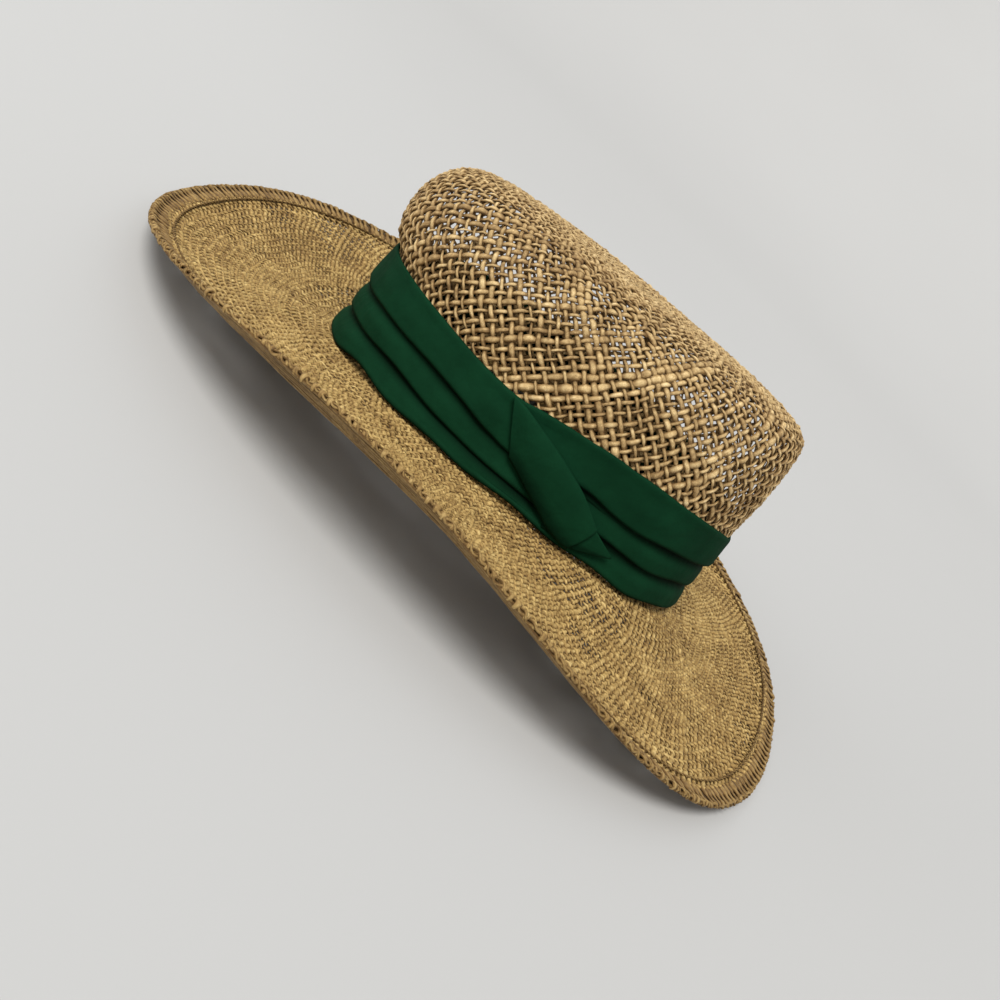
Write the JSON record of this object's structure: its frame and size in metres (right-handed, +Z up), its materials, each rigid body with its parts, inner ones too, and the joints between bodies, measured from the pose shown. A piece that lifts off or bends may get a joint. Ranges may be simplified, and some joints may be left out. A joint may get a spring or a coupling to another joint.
{
  "type": "straw hat",
  "caption": "Woven straw sun hat: flat-topped crown with rounded shoulders, wide brim curled up at the sides and dipped at the back, dark green folded cloth band with a diagonal wrap.",
  "frame": {"origin": "middle of the bounding box's bottom face, on the surface that the brim rests on", "axes": "+Z up from the resting surface, the hat's front towards -Y, its wearer's left towards +X; the crown's own axis leans about 7 degrees from +Z"},
  "size_m": [0.3162, 0.3512, 0.1085],
  "materials": {
    "crown_straw": "matte natural straw, open weave",
    "brim_straw": "matte natural straw, close weave",
    "hem_straw": "matte natural straw, turned and back-woven",
    "band_cloth": "matte dark green cotton"
  },
  "bodies": {
    "root": {"crown": "crown_straw", "brim": "brim_straw", "brim_hem": "hem_straw", "band_fold_top": "band_cloth", "band_fold_middle": "band_cloth", "band_fold_bottom": "band_cloth", "band_wrap": "band_cloth", "band_tab": "band_cloth"}
  },
  "joints": []
}
